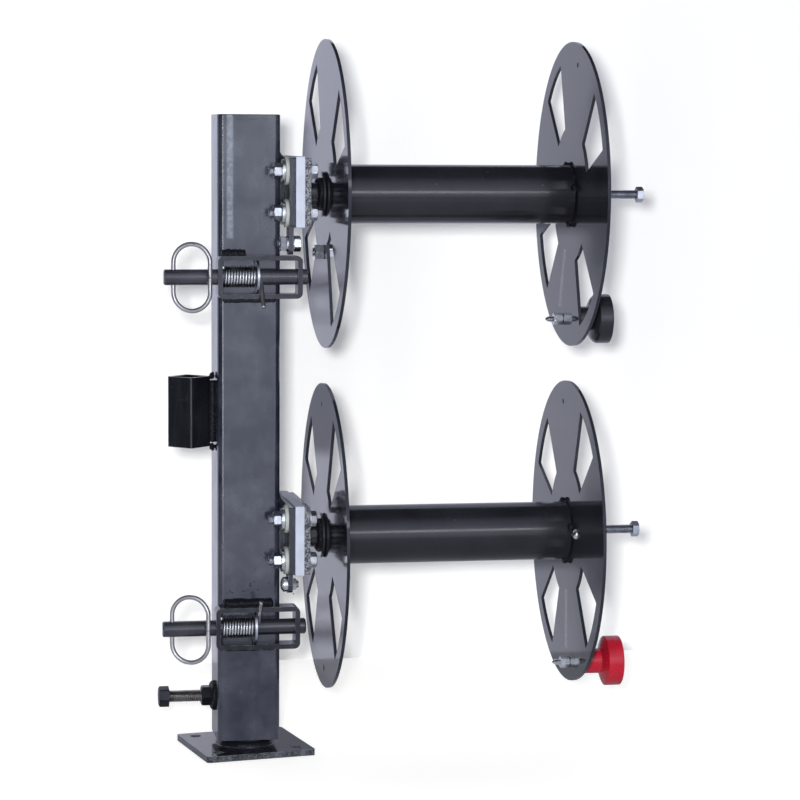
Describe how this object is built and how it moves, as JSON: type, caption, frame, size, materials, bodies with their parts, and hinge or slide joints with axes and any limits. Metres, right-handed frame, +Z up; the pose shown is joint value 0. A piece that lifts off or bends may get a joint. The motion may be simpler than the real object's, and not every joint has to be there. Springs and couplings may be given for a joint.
{
  "type": "welding cable reel",
  "caption": "Swivelling post on a floor plate that carries stacked cable spools on insulated spindles, each with a spring pin lock.",
  "frame": {"origin": "centre of the base plate's underside, on the swivel axis", "axes": "+Z up the post, +X along the spindles from the post towards the spools, -Y the front, where the locks are"},
  "size_m": [0.5044, 0.313, 0.726],
  "materials": {
    "post_paint": "glossy black powder paint",
    "spool_paint": "semi-gloss black paint that mirrors at a low angle",
    "lock_paint": "semi-gloss black paint",
    "zinc": "bright zinc plate",
    "spring_steel": "plain drawn steel wire",
    "insulator": "pale satin insulating board",
    "nylon": "natural nylon",
    "bronze": "oiled bearing bronze",
    "knob_black": "glossy black moulded knob",
    "knob_red": "glossy red moulded knob"
  },
  "bodies": {
    "base": {"base_plate": "post_paint", "base_stub": "post_paint"},
    "post": {"post_tube": "post_paint", "post_cap": "post_paint", "post_rest_plate": "post_paint", "socket_tube": "post_paint", "socket_weld": "post_paint", "set_bolt_nut": "post_paint", "spacer_bars": "post_paint", "stack_welds": "post_paint", "mount_plates": "post_paint", "insulators": "insulator", "carrier_plates": "post_paint", "clamp_bolts": "zinc", "clamp_nuts": "zinc", "clamp_washers": "zinc", "nylon_washers": "nylon", "terminal_tabs": "post_paint", "terminal_bolts": "zinc", "terminal_nuts": "zinc", "terminal_washers": "zinc", "spindles": "spool_paint", "thrust_collars": "spool_paint", "retaining_collars": "spool_paint", "lock_bracket_upper": "lock_paint", "lock_bracket_lower": "lock_paint", "lock_welds": "lock_paint", "lock_spring_upper": "spring_steel", "lock_spring_lower": "spring_steel"},
    "set_bolt": {"set_bolt": "zinc"},
    "upper_spool": {"drum_upper": "spool_paint", "left_flange_upper": "spool_paint", "right_flange_upper": "spool_paint", "hub_bushings_upper": "bronze", "winding_bolt_upper": "zinc", "winding_nuts_upper": "zinc", "knob_bolt_upper": "zinc", "knob_nut_upper": "zinc", "lug_bolt_upper": "zinc", "lug_nuts_upper": "zinc"},
    "upper_knob": {"knob_upper": "knob_black"},
    "upper_lock_slide": {"lock_washer_upper": "spring_steel"},
    "upper_lock_pin": {"lock_pin_upper": "lock_paint", "cross_rod_upper": "spring_steel"},
    "upper_pull_ring": {"pull_ring_upper": "spring_steel"},
    "lower_spool": {"drum_lower": "spool_paint", "left_flange_lower": "spool_paint", "right_flange_lower": "spool_paint", "hub_bushings_lower": "bronze", "winding_bolt_lower": "zinc", "winding_nuts_lower": "zinc", "knob_bolt_lower": "zinc", "knob_nut_lower": "zinc", "lug_button_lower": "zinc", "lug_button_nut_lower": "zinc"},
    "lower_knob": {"knob_lower": "knob_red"},
    "lower_lock_slide": {"lock_washer_lower": "spring_steel"},
    "lower_lock_pin": {"lock_pin_lower": "lock_paint", "cross_rod_lower": "spring_steel"},
    "lower_pull_ring": {"pull_ring_lower": "spring_steel"}
  },
  "joints": [
    {"name": "post_swivel", "type": "hinge", "parent": "base", "child": "post", "pos_m": [0, 0, 0], "axis": [0, 0, 1], "continuous": true},
    {"name": "set_bolt_travel", "type": "slide", "parent": "post", "child": "set_bolt", "axis": [-1, 0, 0], "range_m": [0, 0.02]},
    {"name": "upper_spool_spin", "type": "hinge", "parent": "post", "child": "upper_spool", "pos_m": [0.2, 0, 0.5695], "axis": [1, 0, 0], "continuous": true},
    {"name": "upper_knob_spin", "type": "hinge", "parent": "upper_spool", "child": "upper_knob", "pos_m": [0.36, 0.02776, 0.43892], "axis": [1, 0, 0], "continuous": true},
    {"name": "upper_lock_travel", "type": "slide", "parent": "post", "child": "upper_lock_slide", "axis": [1, 0, 0], "range_m": [0, 0.034], "deforming": ["lock_spring_upper"]},
    {"name": "upper_lock_twist", "type": "hinge", "parent": "upper_lock_slide", "child": "upper_lock_pin", "pos_m": [0.0098, -0.0435, 0.4876], "axis": [-1, 0, 0], "range_deg": [-39, 50]},
    {"name": "upper_ring_swing", "type": "hinge", "parent": "upper_lock_pin", "child": "upper_pull_ring", "pos_m": [-0.0776, -0.0435, 0.4876], "axis": [0, 0, -1], "range_deg": [0, 240]},
    {"name": "lower_spool_spin", "type": "hinge", "parent": "post", "child": "lower_spool", "pos_m": [0.2, 0, 0.2195], "axis": [1, 0, 0], "continuous": true},
    {"name": "lower_knob_spin", "type": "hinge", "parent": "lower_spool", "child": "lower_knob", "pos_m": [0.36, -0.01907, 0.08383], "axis": [1, 0, 0], "continuous": true},
    {"name": "lower_lock_travel", "type": "slide", "parent": "post", "child": "lower_lock_slide", "axis": [1, 0, 0], "range_m": [0, 0.0239], "deforming": ["lock_spring_lower"]},
    {"name": "lower_lock_twist", "type": "hinge", "parent": "lower_lock_slide", "child": "lower_lock_pin", "pos_m": [0.0078, -0.0435, 0.1334], "axis": [1, 0, 0], "range_deg": [-39, 50]},
    {"name": "lower_ring_swing", "type": "hinge", "parent": "lower_lock_pin", "child": "lower_pull_ring", "pos_m": [-0.0796, -0.0435, 0.1334], "axis": [0, 0, -1], "range_deg": [0, 240]}
  ]
}
